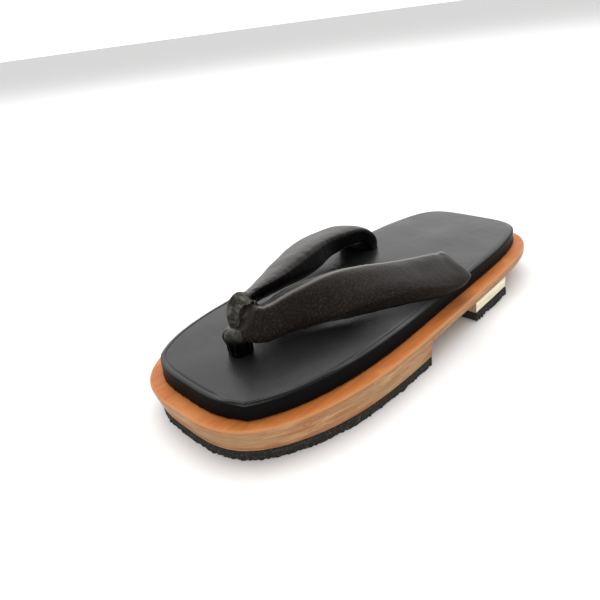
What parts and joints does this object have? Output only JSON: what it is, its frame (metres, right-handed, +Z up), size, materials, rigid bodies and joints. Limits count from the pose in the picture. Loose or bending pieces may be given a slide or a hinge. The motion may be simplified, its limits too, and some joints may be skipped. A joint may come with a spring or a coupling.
{
  "type": "geta sandal",
  "caption": "Low wooden geta sandal with a padded leather footbed, black leather thong, heel tooth and rubber soles.",
  "frame": {"origin": "on the floor, under the middle of the base's outline", "axes": "+X towards the toe, +Y across, +Z up"},
  "size_m": [0.255, 0.1146, 0.0544],
  "materials": {
    "stained_wood": "orange-brown stained and thinly lacquered top, open grain on the sides",
    "pale_wood": "bare pale wood",
    "sponge_rubber": "matt open-cell rubber",
    "bed_leather": "black fine-grained leather with a soft sheen",
    "strap_leather": "soft matt black leather"
  },
  "bodies": {
    "root": {"base": "stained_wood", "heel_tooth": "pale_wood", "front_sole_rubber": "sponge_rubber", "heel_sole_rubber": "sponge_rubber", "footbed": "bed_leather", "straps": "strap_leather", "toe_loop": "strap_leather"}
  },
  "joints": []
}
